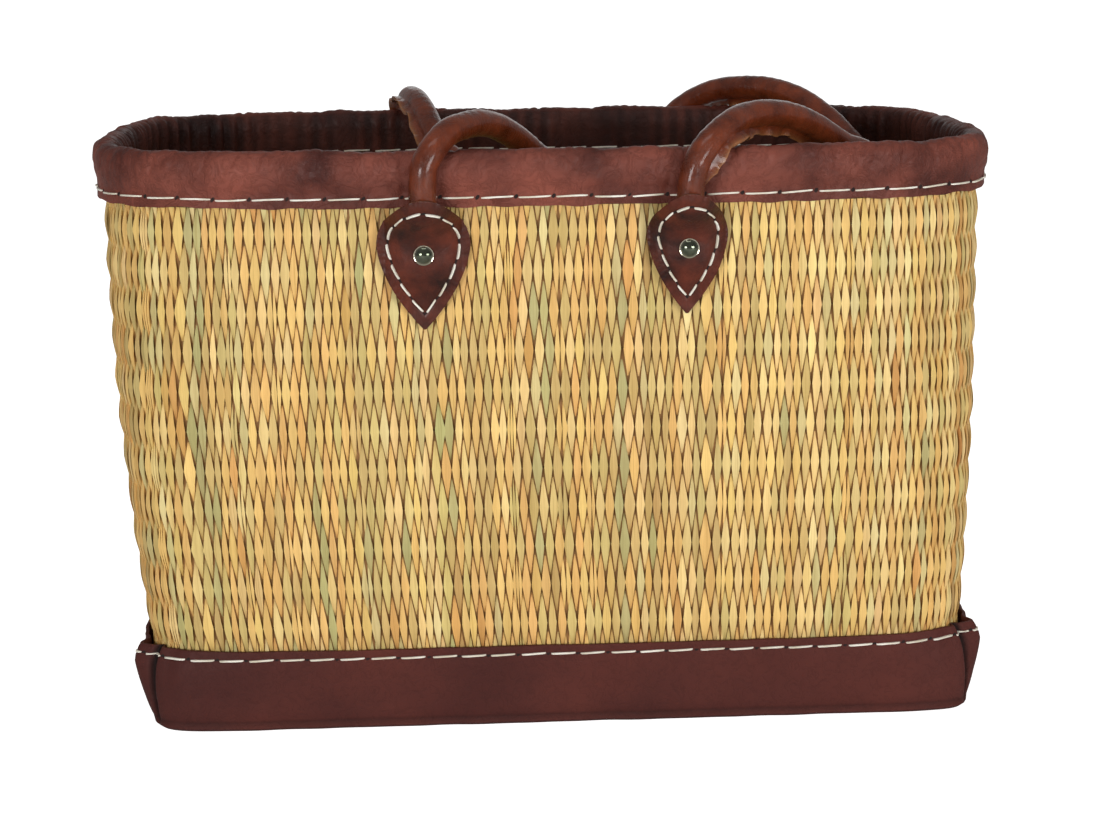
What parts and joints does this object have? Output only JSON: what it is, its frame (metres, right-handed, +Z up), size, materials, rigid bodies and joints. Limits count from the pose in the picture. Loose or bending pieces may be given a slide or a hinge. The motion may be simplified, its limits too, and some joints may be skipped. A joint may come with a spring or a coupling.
{
  "type": "woven market basket",
  "caption": "Oblong woven rush basket with a folded leather rim, a leather base and folding rolled leather handles riveted on under leather tabs.",
  "frame": {"origin": "middle of the basket's bounding box in plan, at floor level under the base", "axes": "+X to the right along the long side, +Y from the front long side to the back one, +Z up"},
  "size_m": [0.4692, 0.2903, 0.324],
  "materials": {
    "woven_rush": "matte split rush, straw to grey-green",
    "rush_roll": "matte rolled rush",
    "rim_leather": "semi-gloss wrinkled reddish brown leather",
    "shoe_leather": "matte dark brown leather",
    "tab_leather": "waxed dark brown leather",
    "handle_leather": "glossy orange-brown leather",
    "handle_cord": "matte twisted cord",
    "waxed_thread": "off-white waxed thread",
    "nickel": "polished nickel"
  },
  "bodies": {
    "basket": {"woven_wall": "woven_rush", "woven_bottom": "woven_rush", "rim_roll": "rush_roll", "rim_binding": "rim_leather", "rim_stitch_outer": "waxed_thread", "rim_stitch_inner": "waxed_thread", "base_shoe": "shoe_leather", "base_stitch_outer": "waxed_thread", "base_stitch_inner": "waxed_thread", "tab_front_left": "tab_leather", "tab_stitch_front_left": "waxed_thread", "rivet_front_left": "nickel", "rivet_washer_front_left": "nickel", "handle_front_leg_left": "handle_leather", "cord_front_leg_left": "handle_cord", "tab_front_right": "tab_leather", "tab_stitch_front_right": "waxed_thread", "rivet_front_right": "nickel", "rivet_washer_front_right": "nickel", "handle_front_leg_right": "handle_leather", "cord_front_leg_right": "handle_cord", "tab_back_left": "tab_leather", "tab_stitch_back_left": "waxed_thread", "rivet_back_left": "nickel", "rivet_washer_back_left": "nickel", "handle_back_leg_left": "handle_leather", "cord_back_leg_left": "handle_cord", "tab_back_right": "tab_leather", "tab_stitch_back_right": "waxed_thread", "rivet_back_right": "nickel", "rivet_washer_back_right": "nickel", "handle_back_leg_right": "handle_leather", "cord_back_leg_right": "handle_cord"},
    "front_handle_arch": {"handle_front_arch_left": "handle_leather", "cord_front_arch_left": "handle_cord", "handle_front_arch_right": "handle_leather", "cord_front_arch_right": "handle_cord"},
    "front_handle_grip": {"handle_front_loop": "handle_leather", "cord_front_loop": "handle_cord"},
    "back_handle_arch": {"handle_back_arch_left": "handle_leather", "cord_back_arch_left": "handle_cord", "handle_back_arch_right": "handle_leather", "cord_back_arch_right": "handle_cord"},
    "back_handle_grip": {"handle_back_loop": "handle_leather", "cord_back_loop": "handle_cord"}
  },
  "joints": [
    {"name": "front_handle_fold", "type": "hinge", "parent": "basket", "child": "front_handle_arch", "pos_m": [0, -0.1362, 0.3092], "axis": [1, 0, 0], "range_deg": [0, 70]},
    {"name": "front_handle_flex", "type": "hinge", "parent": "front_handle_arch", "child": "front_handle_grip", "pos_m": [0, -0.0932, 0.3244], "axis": [1, 0, 0], "range_deg": [0, 50]},
    {"name": "back_handle_fold", "type": "hinge", "parent": "basket", "child": "back_handle_arch", "pos_m": [0, 0.1362, 0.3082], "axis": [-1, 0, 0], "range_deg": [0, 70]},
    {"name": "back_handle_flex", "type": "hinge", "parent": "back_handle_arch", "child": "back_handle_grip", "pos_m": [0, 0.093, 0.32], "axis": [-1, 0, 0], "range_deg": [0, 50]}
  ],
  "couplings": [
    {"joint": "front_handle_flex", "follows": "front_handle_fold", "ratio": 0.71429},
    {"joint": "back_handle_flex", "follows": "back_handle_fold", "ratio": 0.71429}
  ]
}
